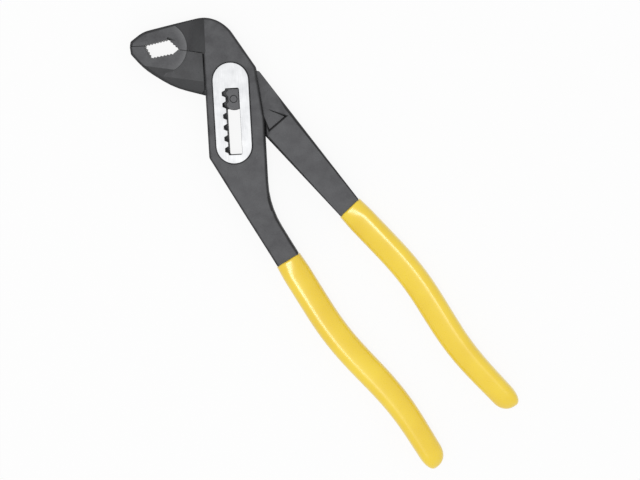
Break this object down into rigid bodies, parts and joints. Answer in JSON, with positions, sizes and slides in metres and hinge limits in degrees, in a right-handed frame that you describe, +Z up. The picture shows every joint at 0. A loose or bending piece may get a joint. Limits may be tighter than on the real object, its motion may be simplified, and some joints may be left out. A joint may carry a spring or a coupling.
{
  "type": "water pump pliers",
  "caption": "Box-joint water pump pliers with a toothed adjusting slot, angled pipe jaws and dipped vinyl grips; jaws slide to a setting and open on a pivot.",
  "frame": {"origin": "on the surface that the tool lies on, below the middle of its outline", "axes": "+Y along the adjusting slot towards the head, +X away from the jaws, +Z up through the pivot pin"},
  "size_m": [0.177, 0.2224, 0.013],
  "materials": {
    "forged_steel": "satin black oxide on forged steel, ground bright on the bosses",
    "block_steel": "satin dark hardened steel",
    "grip_vinyl": "glossy dipped vinyl"
  },
  "bodies": {
    "slotted_half": {"slotted_arm": "forged_steel", "slotted_arm_grip": "grip_vinyl"},
    "slide_blocks": {"front_slide_block": "block_steel", "rear_slide_block": "block_steel"},
    "through_half": {"through_arm": "forged_steel", "pivot_pin": "block_steel", "through_arm_grip": "grip_vinyl"}
  },
  "joints": [
    {"name": "adjusting_slide", "type": "slide", "parent": "slotted_half", "child": "slide_blocks", "axis": [0, -1, 0], "range_m": [0, 0.0212]},
    {"name": "jaw_pivot", "type": "hinge", "parent": "slide_blocks", "child": "through_half", "pos_m": [-0.04055, 0.07205, 0.0065], "axis": [0, 0, 1], "range_deg": [0, 40]}
  ]
}
